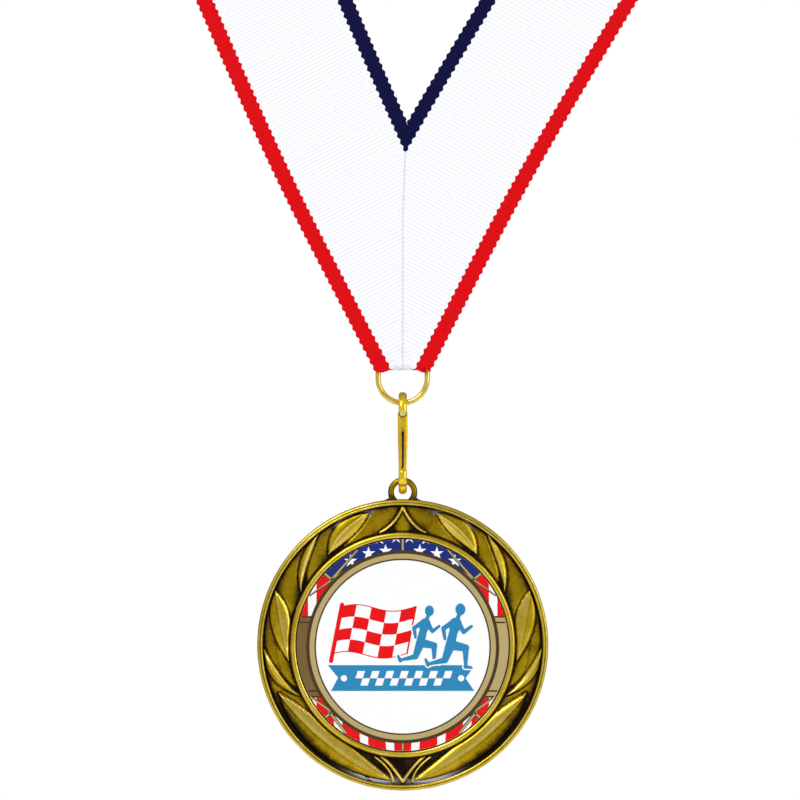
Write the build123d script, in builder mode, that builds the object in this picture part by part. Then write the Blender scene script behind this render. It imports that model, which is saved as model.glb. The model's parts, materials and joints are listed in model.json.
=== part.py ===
from build123d import *
import os
from math import acos, asin, atan, cos, degrees, pi, radians, sin, tan

os.makedirs("parts", exist_ok=True)

# Sports finisher medal hanging from a V-neck ribbon. Millimetres, +Z up, +X to the wearer's left.
# The origin is the middle of the ribbon where it lies on the nape; the medal hangs in front, at -Y.

# neck ribbon: one flat strap, mitred and sewn down the front, folded round the ring's bar
ribbon_width = 33.5
ribbon_thickness = 0.6
strap_length = 400.0        # centre line from the front seam to the nape, one side
strap_lean = 27.5           # degrees from the vertical, each strap of the V
front_flat_share = 12.0     # degrees: how far the flat front reaches before the strap curves back
curve_facets = 10
fold_rise = 14.3            # height of the ring's bar above the point where the strap edges would meet
fold_width = 9.6
fold_shoulder = 1.3         # height above the bar where the strap takes its full width
tab_height = 15.0
tab_taper = 3.2             # height over which the back of the fold closes on to the front
tunnel_clearance = 0.08

# stitches
stitch_width = 0.4
stitch_height = 0.25
seam_stitch_length = 2.4
seam_stitch_pitch = 3.4
tab_stitch_length = 6.4
tab_stitch_count = 6
tab_stitch_pitch = 0.9

# D-ring, bent from round wire
ring_wire = 1.3
ring_width = 13.1           # outside
ring_height = 10.4          # outside
ring_corner = 0.95          # centre-line radius of the bends at the bar's ends

# snap hook, bent from flat-sided wire, with a riveted leaf for a gate
clip_length = 24.6
clip_inner_depth = 5.0
clip_width = 2.0
clip_wire = 1.8
clip_foot_wire = 2.4        # the bottom bend is left thicker
clip_edge_round = 0.45
hang_clearance = 0.15       # between the ring's wire and the top bend
nose_height = 0.95          # the hook's tip above the start of its bottom bend
gate_lap = 0.85             # the gate's end behind the tip
gate_width = 2.4
gate_thickness = 0.5
gate_gap = 0.18             # gate to hook, and gate to rivet tail
gate_head = 0.6             # above the rivet's centre
gate_slot_width = 0.55
gate_slot_length = 8.7
gate_slot_foot = 1.35       # solid metal left below the slot
rivet_below_bend = 0.75     # the rivet's centre below the start of the top bend
leg_below_rivet = 1.05      # how far the hook's front leg runs on past it
rivet_shank = 0.8
rivet_shank_clearance = 0.1
rivet_head = 1.35
rivet_head_height = 0.35
rivet_tail = 1.25
rivet_tail_height = 0.3

# medal
medal_diameter = 69.85      # 2 3/4 in
medal_thickness = 4.0
rim_width = 1.3
edge_chamfer = 0.4
relief_depth = 1.0          # rim down to the ground of the leaf band
leaf_height = 0.65
bezel_width = 1.3
insert_diameter = 50.8      # 2 in
insert_clearance = 0.3
insert_thickness = 0.6
insert_depth = 0.35         # below the bezel's crest
adhesive_thickness = 0.15
adhesive_margin = 0.8
eye_diameter = 7.07
eye_hole = 4.2
eye_thickness = 2.0
eye_edge_round = 0.55
eye_rise = 1.75             # eye centre above the medal's edge
eye_foot_width = 9.2
eye_hang_clearance = 0.25   # eye to the clip's bottom bend


# ---- where things hang, from the nape down -------------------------------------------------------
# The ribbon lies on a cone: flat in front, curved over the shoulders, flat across the nape, with its
# apex straight above the front seam. Unrolled, each strap is straight, and nape_turn is the angle
# that it sweeps about the apex.
nape_turn = radians(90 - strap_lean)
nape_reach = strap_length / tan(nape_turn)
flat_turn = radians(front_flat_share)


def cone(opening):
    """Radius of the shoulder curve on the unit sphere, the flat angle, and half the curve's sweep."""
    curve = asin(cos(flat_turn) * sin(opening / 2))
    flat = atan(tan(flat_turn) / cos(opening / 2))
    half_sweep = acos(tan(curve) * tan(flat_turn))
    return curve, flat, half_sweep


def unrolled(opening):
    curve, flat, half_sweep = cone(opening)
    return 2 * flat + 2 * half_sweep * sin(curve)


narrow, wide = 0.05, 2.5
for _ in range(60):
    middle = (narrow + wide) / 2
    if unrolled(middle) < nape_turn:
        narrow = middle
    else:
        wide = middle
opening = (narrow + wide) / 2
curve, flat, half_sweep = cone(opening)

apex = Vector(0, -nape_reach * sin(opening), nape_reach * cos(opening))
half_width = ribbon_width / 2
front_y = apex.Y
outer_corner_z = apex.Z - (nape_reach + half_width) / cos(nape_turn)
inner_corner_z = apex.Z - (nape_reach - half_width) / cos(nape_turn)
bar_z = outer_corner_z + fold_rise

tunnel_radius = ring_wire / 2 + tunnel_clearance
hang_y = front_y + ribbon_thickness / 2 + tunnel_radius
ring_foot_z = bar_z - ring_height + ring_wire
clip_top_z = ring_foot_z + ring_wire / 2 + hang_clearance + clip_wire
clip_foot_z = clip_top_z - clip_length
clip_foot_axis_z = clip_foot_z + clip_foot_wire / 2
eye_z = clip_foot_z + clip_foot_wire + eye_hang_clearance - eye_hole / 2
medal_z = eye_z - eye_rise - medal_diameter / 2
inner_radius = clip_inner_depth / 2
outer_radius = inner_radius + clip_wire
top_bend_z = clip_top_z - outer_radius
rivet_z = top_bend_z - rivet_below_bend

print("front plane y %.3f, hang y %.3f, inner corner z %.3f" % (front_y, hang_y, inner_corner_z))
print("bar z %.3f, ring foot z %.3f, clip top z %.3f" % (bar_z, ring_foot_z, clip_top_z))
print("clip foot axis z %.3f, rivet z %.3f" % (clip_foot_axis_z, rivet_z))
print("eye z %.3f, medal z %.3f, opening %.2f deg" % (eye_z, medal_z, degrees(opening)))


# ---- neck ribbon -----------------------------------------------------------------------------------
def crease_rays():
    """Unit rays from the apex to each crease of the right-hand strap, with their unrolled angles."""
    rays = [(Vector(0, 0, -1), 0.0)]
    bisector = Vector(0, sin(opening / 2), -cos(opening / 2))
    centre = bisector * cos(flat_turn) + Vector(1, 0, 0) * sin(flat_turn)
    to_front = (Vector(sin(flat), 0, -cos(flat)) - centre * cos(curve)).normalized()
    across = centre.cross(to_front)
    if across.X < 0:
        across = across * -1
    for step in range(curve_facets + 1):
        turn = 2 * half_sweep * step / curve_facets
        around = to_front * cos(turn) + across * sin(turn)
        ray = centre * cos(curve) + around * sin(curve)
        rays.append((ray, flat + turn * sin(curve)))
    rays.append((Vector(0, sin(opening), -cos(opening)), nape_turn))
    return rays


rays = crease_rays()
facet_normals = [a.cross(b).normalized() for (a, _), (b, _) in zip(rays, rays[1:])]

with BuildPart() as neck_ribbon:
    for index, (ray, turn) in enumerate(rays):
        before = facet_normals[max(index - 1, 0)]
        after = facet_normals[min(index, len(facet_normals) - 1)]
        mitre = (before + after).normalized()
        reach = nape_reach / cos(nape_turn - turn)
        spread = ribbon_width / cos(nape_turn - turn)
        section = Plane(origin=apex + ray * reach, x_dir=ray, z_dir=ray.cross(mitre))
        with BuildSketch(section):
            Rectangle(spread, ribbon_thickness / mitre.dot(after))
    loft(ruled=True)
    mirror(about=Plane.YZ)
    # the tip below the shoulders is what folds behind the bar
    with BuildSketch(Plane.XZ.offset(-front_y)):
        with Locations((0, bar_z + fold_shoulder - ribbon_width)):
            Rectangle(3 * ribbon_width, 2 * ribbon_width)
    extrude(amount=2 * ribbon_thickness, both=True, mode=Mode.SUBTRACT)
    # the fold: front layer, tunnel round the bar, and the tab lying on the back
    with BuildSketch(Plane.YZ):
        front_face = front_y - ribbon_thickness / 2
        tab_face = front_face + 2 * ribbon_thickness
        tunnel_back = hang_y + tunnel_radius + ribbon_thickness
        with BuildLine():
            Polyline(
                (front_face, bar_z),
                (front_face, bar_z + tab_height),
                (tab_face, bar_z + tab_height),
                (tab_face, bar_z + tab_taper),
                (tunnel_back, bar_z),
                close=True,
            )
        make_face()
        with Locations((hang_y, bar_z)):
            Circle(tunnel_radius + ribbon_thickness)
            Circle(tunnel_radius, mode=Mode.SUBTRACT)
        with BuildLine():
            Polyline(
                (hang_y - tunnel_radius, bar_z),
                (hang_y - tunnel_radius, bar_z + tab_taper - 2 * ribbon_thickness),
                (hang_y + tunnel_radius, bar_z),
                close=True,
            )
        make_face(mode=Mode.SUBTRACT)
    extrude(amount=fold_width / 2, both=True)
neck_ribbon.part.label = "neck_ribbon"
export_step(neck_ribbon.part, "parts/neck_ribbon.step")


# ---- stitches: short raised stitches lying on the back of the cloth ------------------------------------
back_face = front_y + ribbon_thickness / 2
seam_bottom = bar_z + tab_height + seam_stitch_pitch
seam_count = int((inner_corner_z - seam_stitch_pitch - seam_bottom) / seam_stitch_pitch) + 1
seam_middle = seam_bottom + (seam_count - 1) * seam_stitch_pitch / 2
with BuildPart() as seam_thread:
    with BuildSketch(Plane.XZ.offset(-back_face)):
        with Locations((0, seam_middle)):
            with GridLocations(1, seam_stitch_pitch, 1, seam_count):
                SlotOverall(seam_stitch_length, stitch_width, rotation=90)
    extrude(amount=-stitch_height)
seam_thread.part.label = "seam_thread"
export_step(seam_thread.part, "parts/seam_thread.step")

with BuildPart() as tab_thread:
    with BuildSketch(Plane.XZ.offset(-tab_face)):
        with Locations((0, bar_z + (tab_height + tab_taper) / 2)):
            with GridLocations(1, tab_stitch_pitch, 1, tab_stitch_count):
                SlotOverall(tab_stitch_length, stitch_width)
    extrude(amount=-stitch_height)
tab_thread.part.label = "tab_thread"
export_step(tab_thread.part, "parts/tab_thread.step")


# ---- D-ring ----------------------------------------------------------------------------------------
ring_radius = (ring_width - ring_wire) / 2
ring_centre_z = ring_foot_z + ring_radius
with BuildPart() as d_ring:
    with BuildLine(Plane.XZ.offset(-hang_y)) as ring_path:
        bar = Line((-ring_radius + ring_corner, bar_z), (ring_radius - ring_corner, bar_z))
        right_bend = RadiusArc(bar @ 1, (ring_radius, bar_z - ring_corner), ring_corner)
        right_leg = Line(right_bend @ 1, (ring_radius, ring_centre_z))
        bow = ThreePointArc(right_leg @ 1, (0, ring_foot_z), (-ring_radius, ring_centre_z))
        left_leg = Line(bow @ 1, (-ring_radius, bar_z - ring_corner))
        RadiusArc(left_leg @ 1, bar @ 0, ring_corner)
    with BuildSketch(Plane(origin=bar @ 0.5, z_dir=(1, 0, 0))):
        Circle(ring_wire / 2)
    sweep(path=ring_path.wires()[0])
d_ring.part.label = "d_ring"
export_step(d_ring.part, "parts/d_ring.step")


# ---- snap hook -------------------------------------------------------------------------------------
foot_bend_inner_z = clip_foot_z + clip_foot_wire + inner_radius
foot_bend_outer_z = clip_foot_z + outer_radius
mouth_top_z = rivet_z - leg_below_rivet
mouth_bottom_z = foot_bend_inner_z + nose_height
hook_front_y = hang_y - inner_radius
with BuildPart() as clip_hook:
    with BuildSketch(Plane.YZ):
        with Locations((hang_y, (top_bend_z + foot_bend_outer_z) / 2)):
            SlotCenterToCenter(top_bend_z - foot_bend_outer_z, 2 * outer_radius, rotation=90)
        with Locations((hang_y, (top_bend_z + foot_bend_inner_z) / 2)):
            SlotCenterToCenter(
                top_bend_z - foot_bend_inner_z, 2 * inner_radius, rotation=90, mode=Mode.SUBTRACT
            )
        with Locations((hang_y - outer_radius, (mouth_top_z + mouth_bottom_z) / 2)):
            Rectangle(2 * outer_radius, mouth_top_z - mouth_bottom_z, mode=Mode.SUBTRACT)
    extrude(amount=clip_width / 2, both=True)
    profile_edges = clip_hook.edges().filter_by(lambda edge: abs(edge.center().X) > clip_width / 4)
    fillet(profile_edges, clip_edge_round)
    with BuildSketch(Plane.XZ.offset(-hook_front_y)):
        with Locations((0, rivet_z)):
            Circle(rivet_shank / 2)
    extrude(amount=clip_wire * 2, mode=Mode.SUBTRACT)
clip_hook.part.label = "clip_hook"
export_step(clip_hook.part, "parts/clip_hook.step")

gate_front_y = hook_front_y + gate_gap
gate_axis_y = gate_front_y + gate_thickness / 2
gate_top_z = rivet_z + gate_head
gate_bottom_z = mouth_bottom_z - gate_lap
slot_middle_z = gate_bottom_z + gate_slot_foot + gate_slot_length / 2
with BuildPart() as clip_gate:
    with BuildSketch(Plane.XZ.offset(-gate_front_y)):
        with Locations((0, (gate_top_z + gate_bottom_z) / 2)):
            RectangleRounded(gate_width, gate_top_z - gate_bottom_z, gate_width / 4)
        with Locations((0, slot_middle_z)):
            SlotOverall(gate_slot_length, gate_slot_width, rotation=90, mode=Mode.SUBTRACT)
        with Locations((0, rivet_z)):
            Circle(rivet_shank / 2 + rivet_shank_clearance, mode=Mode.SUBTRACT)
    extrude(amount=-gate_thickness)
clip_gate.part.label = "clip_gate"
export_step(clip_gate.part, "parts/clip_gate.step")

tail_y = gate_front_y + gate_thickness + gate_gap
hook_outer_y = hook_front_y - clip_wire
with BuildPart() as gate_rivet:
    with BuildSketch(Plane.XZ.offset(-hook_outer_y)):
        with Locations((0, rivet_z)):
            Circle(rivet_shank / 2)
    extrude(amount=-(tail_y - hook_outer_y))
    with BuildSketch(Plane.XZ.offset(-hook_outer_y)):
        with Locations((0, rivet_z)):
            Circle(rivet_head / 2)
    extrude(amount=rivet_head_height, taper=30)
    with BuildSketch(Plane.XZ.offset(-tail_y)):
        with Locations((0, rivet_z)):
            Circle(rivet_tail / 2)
    extrude(amount=-rivet_tail_height)
gate_rivet.part.label = "gate_rivet"
export_step(gate_rivet.part, "parts/gate_rivet.step")


# ---- medal -----------------------------------------------------------------------------------------
medal_radius = medal_diameter / 2
face_y = hang_y - medal_thickness / 2
ground_y = face_y + relief_depth
seat_radius = insert_diameter / 2 + insert_clearance
bezel_radius = seat_radius + bezel_width
band_outer = medal_radius - rim_width
band_width = band_outer - bezel_radius
seat_depth = insert_depth + insert_thickness + adhesive_thickness


def on_band(share, clock):
    """A point of the leaf band: share 0 at the bezel to 1 at the rim, clockwise from the top."""
    radius = bezel_radius + share * band_width
    return (radius * sin(radians(clock)), medal_z + radius * cos(radians(clock)))


# each leaf: tip, middle of its outer edge, base, middle of its inner edge, as (share, clock)
leaves = [
    ((0.88, 14.6), (0.73, 27.6), (0.11, 39.8), (0.15, 23.4)),
    ((0.95, 36.8), (0.62, 53.5), (0.12, 62.2), (0.36, 47.5)),
    ((0.95, 66.7), (0.82, 85.5), (0.14, 99.1), (0.16, 81.0)),
    ((0.96, 92.0), (0.66, 106.0), (0.08, 116.1), (0.42, 102.5)),
    ((0.74, 112.0), (0.80, 141.0), (0.94, 176.4), (0.18, 141.0)),
]
with BuildPart() as medal_casting:
    with BuildSketch(Plane.XZ.offset(-face_y)):
        with Locations((0, medal_z)):
            Circle(medal_radius)
    extrude(amount=-medal_thickness)
    outer_edges = medal_casting.edges().filter_by(GeomType.CIRCLE)
    chamfer(outer_edges, edge_chamfer)
    with BuildSketch(Plane.XZ.offset(-face_y)):
        with Locations((0, medal_z)):
            Circle(band_outer)
            Circle(bezel_radius, mode=Mode.SUBTRACT)
    extrude(amount=-relief_depth, mode=Mode.SUBTRACT)
    with BuildSketch(Plane.XZ.offset(-face_y)):
        with Locations((0, medal_z)):
            Circle(seat_radius)
    extrude(amount=-seat_depth, mode=Mode.SUBTRACT)
    # raised leaves, alike on both sides
    with BuildSketch(Plane.XZ.offset(-ground_y)):
        for side in (1, -1):
            for tip, outer, base, inner in leaves:
                with BuildLine():
                    ends = [on_band(share, side * clock) for share, clock in (tip, outer, base, inner)]
                    ThreePointArc(ends[0], ends[1], ends[2])
                    ThreePointArc(ends[2], ends[3], ends[0])
                make_face()
    extrude(amount=leaf_height)
    # the eye stands on the edge, thinner than the disc, on a flared foot
    with BuildSketch(Plane.XZ.offset(-hang_y)):
        with BuildLine():
            Polyline(
                (-eye_foot_width / 2, medal_z + medal_radius - rim_width),
                (eye_foot_width / 2, medal_z + medal_radius - rim_width),
                (eye_diameter / 2, eye_z),
                (-eye_diameter / 2, eye_z),
                close=True,
            )
        make_face()
        with Locations((0, eye_z)):
            Circle(eye_diameter / 2)
    extrude(amount=eye_thickness / 2, both=True)
    with BuildSketch(Plane.XZ.offset(-hang_y)):
        with Locations((0, eye_z)):
            Circle(eye_hole / 2)
    extrude(amount=medal_thickness, both=True, mode=Mode.SUBTRACT)
    hole_edges = medal_casting.edges().filter_by(
        lambda edge: edge.geom_type == GeomType.CIRCLE
        and abs(edge.radius - eye_hole / 2) < 0.01
        and edge.center().Z > medal_z + medal_radius
    )
    fillet(hole_edges, eye_edge_round)
medal_casting.part.label = "medal_casting"
export_step(medal_casting.part, "parts/medal_casting.step")

adhesive_y = face_y + insert_depth + insert_thickness
with BuildPart() as insert_adhesive:
    with BuildSketch(Plane.XZ.offset(-adhesive_y)):
        with Locations((0, medal_z)):
            Circle(insert_diameter / 2 - adhesive_margin)
    extrude(amount=-adhesive_thickness)
insert_adhesive.part.label = "insert_adhesive"
export_step(insert_adhesive.part, "parts/insert_adhesive.step")

with BuildPart() as printed_insert:
    with BuildSketch(Plane.XZ.offset(-adhesive_y)):
        with Locations((0, medal_z)):
            Circle(insert_diameter / 2)
    extrude(amount=insert_thickness)
printed_insert.part.label = "printed_insert"
export_step(printed_insert.part, "parts/printed_insert.step")
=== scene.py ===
import bmesh
import bpy
import json
import math
import numpy as np
from mathutils import Matrix, Vector


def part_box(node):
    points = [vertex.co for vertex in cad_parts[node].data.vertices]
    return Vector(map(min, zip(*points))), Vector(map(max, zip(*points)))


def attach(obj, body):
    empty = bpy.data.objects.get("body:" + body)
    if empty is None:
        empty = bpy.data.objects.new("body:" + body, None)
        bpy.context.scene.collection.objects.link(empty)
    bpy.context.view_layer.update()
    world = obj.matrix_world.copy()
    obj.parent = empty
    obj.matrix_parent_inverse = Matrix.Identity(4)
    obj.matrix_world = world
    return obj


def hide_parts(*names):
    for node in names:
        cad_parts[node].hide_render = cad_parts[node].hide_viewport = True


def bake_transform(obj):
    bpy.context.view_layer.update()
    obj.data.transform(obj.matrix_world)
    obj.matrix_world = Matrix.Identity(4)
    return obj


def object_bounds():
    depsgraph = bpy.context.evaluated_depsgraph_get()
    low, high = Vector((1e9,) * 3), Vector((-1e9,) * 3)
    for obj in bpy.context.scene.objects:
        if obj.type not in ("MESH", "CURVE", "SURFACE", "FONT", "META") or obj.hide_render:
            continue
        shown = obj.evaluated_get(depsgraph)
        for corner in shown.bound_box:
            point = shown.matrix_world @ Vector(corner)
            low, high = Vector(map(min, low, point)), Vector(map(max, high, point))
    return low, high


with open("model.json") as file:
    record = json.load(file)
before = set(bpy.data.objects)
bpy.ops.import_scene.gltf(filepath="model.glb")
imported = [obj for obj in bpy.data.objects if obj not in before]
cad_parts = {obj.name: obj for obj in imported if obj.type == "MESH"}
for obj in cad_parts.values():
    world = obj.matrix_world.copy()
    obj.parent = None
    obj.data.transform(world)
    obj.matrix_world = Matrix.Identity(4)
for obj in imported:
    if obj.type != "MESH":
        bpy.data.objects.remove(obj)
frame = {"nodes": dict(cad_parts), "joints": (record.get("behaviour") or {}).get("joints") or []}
cad_low, cad_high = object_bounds()
MM = 0.001

# ---- Stage -------------------------------------------------------------------
# A small pale floor under the hanging medal, a white surround, soft lights and a long lens that
# looks straight at the medal's face.
ground_drop = 0.06
floor_half = 0.45
medal_low, medal_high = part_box("medal_casting")
medal_radius = (medal_high[0] - medal_low[0]) / 2
medal_z = medal_low[2] + medal_radius
hang_y = (medal_low[1] + medal_high[1]) / 2
aim = Vector((-0.00065, hang_y, medal_z + 0.0588))
lens_mm, sensor_mm = 150, 36
picture_width = 0.1923
picture_distance = picture_width * lens_mm / sensor_mm
white = (1, 1, 1, 1)
cool_fill = (0.93, 0.95, 1.0, 1)
fill_strength = 0.42


def new_object(name, bm):
    mesh = bpy.data.meshes.new(name)
    bm.to_mesh(mesh)
    bm.free()
    piece = bpy.data.objects.new(name, mesh)
    bpy.context.scene.collection.objects.link(piece)
    return piece


def new_material(name, colour, roughness, metallic=0.0):
    material = bpy.data.materials.new(name)
    material.use_nodes = True
    shader = material.node_tree.nodes["Principled BSDF"]
    shader.inputs["Base Color"].default_value = (*colour, 1)
    shader.inputs["Roughness"].default_value = roughness
    shader.inputs["Metallic"].default_value = metallic
    return material, material.node_tree, shader


def node(tree, kind, *links, **settings):
    """Adds a shader node; links are (socket, source), settings are attributes or in_NAME values."""
    made = tree.nodes.new("ShaderNode" + kind)
    for name, value in settings.items():
        if name.startswith("in_"):
            made.inputs[name[3:].replace("_", " ")].default_value = value
        else:
            setattr(made, name, value)
    for socket, source in links:
        tree.links.new(source, made.inputs[socket])
    return made


floor_bm = bmesh.new()
bmesh.ops.create_circle(floor_bm, cap_ends=True, radius=floor_half, segments=96)
bmesh.ops.translate(floor_bm, verts=floor_bm.verts, vec=(0, hang_y, cad_low[2] - ground_drop))
floor = new_object("floor", floor_bm)
floor_material, _, _ = new_material("pale_floor", (0.86, 0.86, 0.86), 0.7)
floor.data.materials.append(floor_material)

bpy.context.scene.view_settings.view_transform = "Standard"
world = bpy.data.worlds.new("studio")
bpy.context.scene.world = world
world.use_nodes = True
tree = world.node_tree
tree.nodes.clear()
seen = node(tree, "Background", in_Color=white, in_Strength=1.0)
fill = node(tree, "Background", in_Color=cool_fill, in_Strength=fill_strength)
path = node(tree, "LightPath")
to_camera = path.outputs["Is Camera Ray"]
surround = node(tree, "MixShader", ("Fac", to_camera), (1, fill.outputs[0]), (2, seen.outputs[0]))
node(tree, "OutputWorld", ("Surface", surround.outputs[0]))


def soft_light(name, place, target, size, watts):
    data = bpy.data.lights.new(name, "AREA")
    data.shape = "RECTANGLE"
    data.size, data.size_y = size
    data.energy = watts
    lamp = bpy.data.objects.new(name, data)
    lamp.location = place
    lamp.rotation_euler = (Vector(target) - Vector(place)).to_track_quat("-Z", "Y").to_euler()
    bpy.context.scene.collection.objects.link(lamp)
    return lamp


middle = (0, hang_y, medal_z + 0.06)
soft_light("key_light", (-0.45, hang_y - 0.7, medal_z + 0.75), middle, (0.5, 0.5), 7)
soft_light("side_light", (0.75, hang_y - 0.55, medal_z + 0.25), middle, (0.25, 0.7), 3)
back_light = soft_light("back_light", (0.1, hang_y + 0.9, medal_z + 0.7), middle, (0.6, 0.6), 8)
back_light.visible_glossy = False

camera_data = bpy.data.cameras.new("camera")
camera_data.lens = lens_mm
camera_data.sensor_width = sensor_mm
camera = bpy.data.objects.new("camera", camera_data)
camera.location = aim + Vector((0, -picture_distance, 0))
camera.rotation_euler = (math.pi / 2, 0, 0)
bpy.context.scene.collection.objects.link(camera)
bpy.context.scene.camera = camera

# ---- Neck ribbon -------------------------------------------------------------
# One ribbed strap of woven polyester, navy, white and red. Its two ends are mitred and sewn down
# the front, and the sewn tip is folded behind the ring's bar. Unrolled it is straight: along is
# the way from the front seam, across is outwards from the navy edge to the red one.
joint_at = {joint["name"]: Vector(joint["pos_m"]) for joint in frame["joints"]}
bar_z = joint_at["ring_swing"].z
strap_width = 33.5 * MM
strap_length = 400 * MM
strap_lean = math.radians(27.5)
flat_share = math.radians(12)
cloth_half = 0.2 * MM
rib_swell = 0.09 * MM
rib_pitch = 0.9 * MM
steps_per_rib = 4
scallop = 0.2 * MM
navy_width = 3.4 * MM
red_width = 3.65 * MM
sway = 6.4 * MM
flap_drop = 1.85 * MM
fold_half = 4.7 * MM
seam_dip_width = 0.35 * MM
seam_dip = 0.16 * MM
rib_roundness = 0.6
scallop_band = 0.6 * MM
yarn_pitch = 0.26 * MM
seam_shade_width = 0.28 * MM
tuck_run = 3.2 * MM
corner_blend, corner_tight = 0.5 * MM, 0.48 * MM
tip_length = 30 * MM

nape_turn = math.pi / 2 - strap_lean
nape_reach = strap_length / math.tan(nape_turn)


def cone(opening):
    """The bend round the neck as part of a cone: its half angle, where the flat front ends, its sweep."""
    curve = math.asin(math.cos(flat_share) * math.sin(opening / 2))
    flat = math.atan(math.tan(flat_share) / math.cos(opening / 2))
    half_sweep = math.acos(math.tan(curve) * math.tan(flat_share))
    return curve, flat, half_sweep


# the opening between the front and the nape that uses up the strap's turn, found by halving
narrow, wide = 0.05, 2.5
for _ in range(60):
    opening = (narrow + wide) / 2
    curve, flat, half_sweep = cone(opening)
    if 2 * flat + 2 * half_sweep * math.sin(curve) < nape_turn:
        narrow = opening
    else:
        wide = opening

apex = Vector((0, -nape_reach * math.sin(opening), nape_reach * math.cos(opening)))
fold_radius = hang_y - apex.y


def unit(rows):
    return rows / np.linalg.norm(rows, axis=-1, keepdims=True)


def rays(turn):
    """Unit rays from the apex for the turns, an array in radians, on the right-hand side."""
    front = np.stack([np.sin(turn), 0 * turn, -np.cos(turn)], -1)
    left = nape_turn - turn
    nape = np.array([0, math.sin(opening), -math.cos(opening)])
    back = np.sin(left)[:, None] * np.array([1.0, 0, 0]) + np.cos(left)[:, None] * nape
    bisector = np.array([0, math.sin(opening / 2), -math.cos(opening / 2)])
    centre = bisector * math.cos(flat_share) + np.array([1.0, 0, 0]) * math.sin(flat_share)
    foot = np.array([math.sin(flat), 0, -math.cos(flat)])
    to_front = unit(foot - centre * math.cos(curve))
    across = np.cross(centre, to_front)
    across = across * np.sign(across[0])
    swing = (turn - flat) / math.sin(curve)
    around = np.cos(swing)[:, None] * to_front + np.sin(swing)[:, None] * across
    bend = centre * math.cos(curve) + around * math.sin(curve)
    rays_out = np.where((turn < flat)[:, None], front, bend)
    return np.where((left < flat)[:, None], back, rays_out)


def smooth(x):
    x = np.clip(x, 0, 1)
    return x * x * (3 - 2 * x)


def sideways(height):
    """How far the ribbon strays to the wearer's left, at heights from 0 at the bar to 1 at the nape."""
    return sway * smooth((height - 0.1) / 0.4) * smooth((1 - height) / 0.5)


def hung(flat_points):
    """Unrolled points (along, across, out of the cloth) to where the cloth hangs."""
    along, across, lift = flat_points.T
    side = np.where(along > strap_length, -1.0, 1.0)
    along = np.where(along > strap_length, 2 * strap_length - along, along)
    run, rise = strap_length - along, nape_reach + across
    reach = np.hypot(run, rise)
    turn = nape_turn - np.arctan2(run, rise)
    ray = rays(turn)
    step = 1e-4
    normal = unit(np.cross(rays(turn - step), rays(turn + step)))
    place = np.array(apex) + ray * reach[:, None] + normal * lift[:, None]
    # the tip below the bar wraps behind it; its corners hang in front of the ring's legs
    drop = bar_z - (apex.z - reach * np.cos(turn))
    wrap = np.clip(drop / fold_radius, 0, math.pi)
    rest = np.maximum(drop - math.pi * fold_radius, 0)
    radius = fold_radius + lift
    tab_in = 2 * fold_radius - 2 * (cloth_half + rib_swell)
    folded_y = hang_y - radius * np.cos(wrap) - tab_in * smooth(rest / tuck_run)
    folded_z = bar_z - radius * np.sin(wrap) + rest
    corner = fold_half - corner_blend + corner_tight * smooth(2 * drop / flap_drop - 1)
    aside = smooth((np.abs(place[:, 0]) - corner) / (fold_half - corner)) * (drop < flap_drop + 1e-6)
    below = drop > 0
    place[:, 1] = np.where(below, folded_y * (1 - aside) + place[:, 1] * aside, place[:, 1])
    place[:, 2] = np.where(below, folded_z * (1 - aside) + place[:, 2] * aside, place[:, 2])
    place[:, 0] *= side
    height = np.clip((place[:, 2] - bar_z) / -bar_z, 0, 1)
    place[:, 0] += sideways(height)
    return place


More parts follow.
